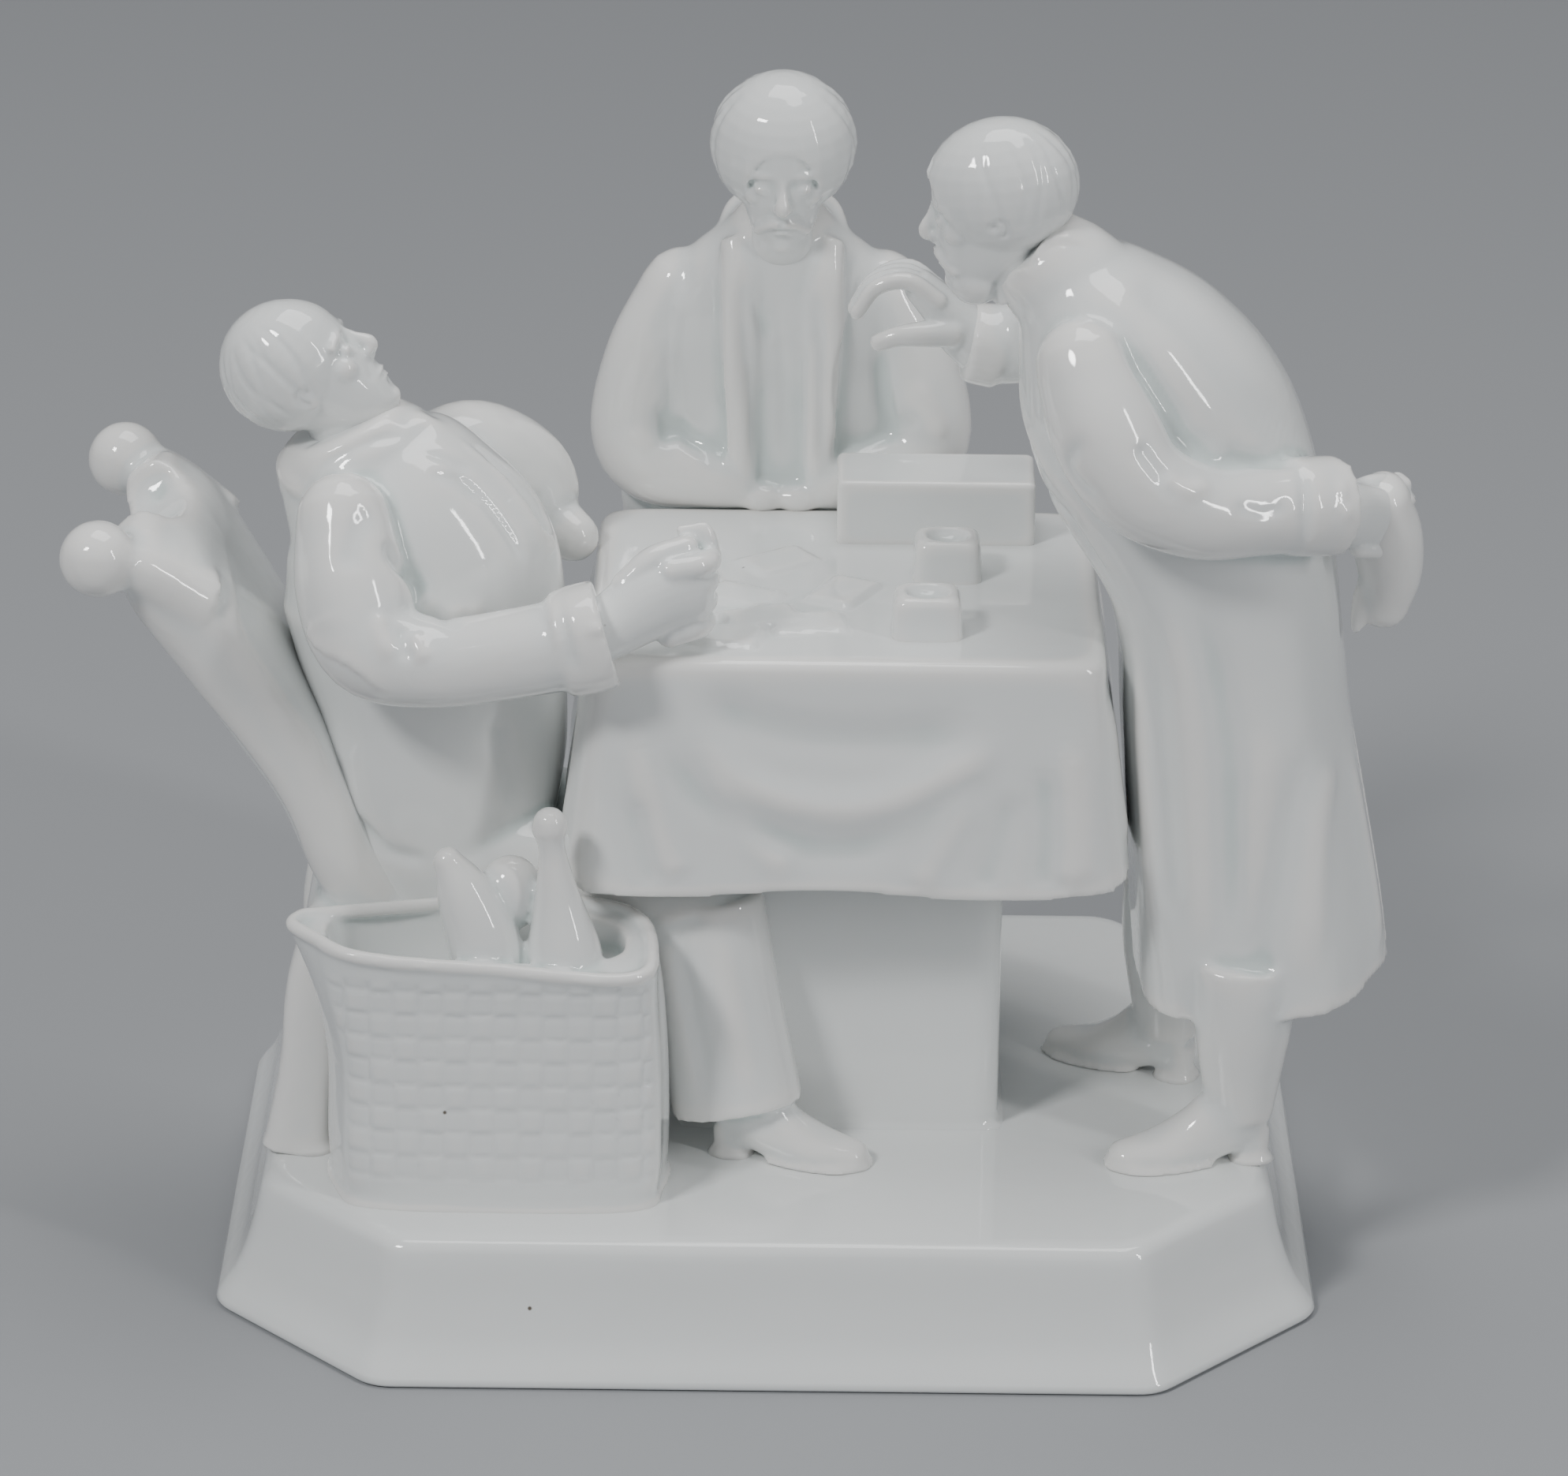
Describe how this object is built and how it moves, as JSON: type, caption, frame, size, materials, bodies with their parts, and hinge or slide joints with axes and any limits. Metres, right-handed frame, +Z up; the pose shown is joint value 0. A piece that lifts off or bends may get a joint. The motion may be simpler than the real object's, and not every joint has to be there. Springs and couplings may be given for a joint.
{
  "type": "porcelain figure group",
  "caption": "White glazed porcelain group of figures in frock coats round a cloth-covered card table on a plinth with canted corners, with a chair and a market basket.",
  "frame": {"origin": "middle of the plinth's flat underside", "axes": "+Z up, the table's front edge and the basket towards -Y, the chair towards -X, the standing figure towards +X"},
  "size_m": [0.2292, 0.1514, 0.2053],
  "materials": {
    "glazed_porcelain": "clear glossy glaze on white porcelain, pooling faintly blue-green in the hollows"
  },
  "bodies": {
    "root": {"figure_group": "glazed_porcelain"}
  },
  "joints": []
}
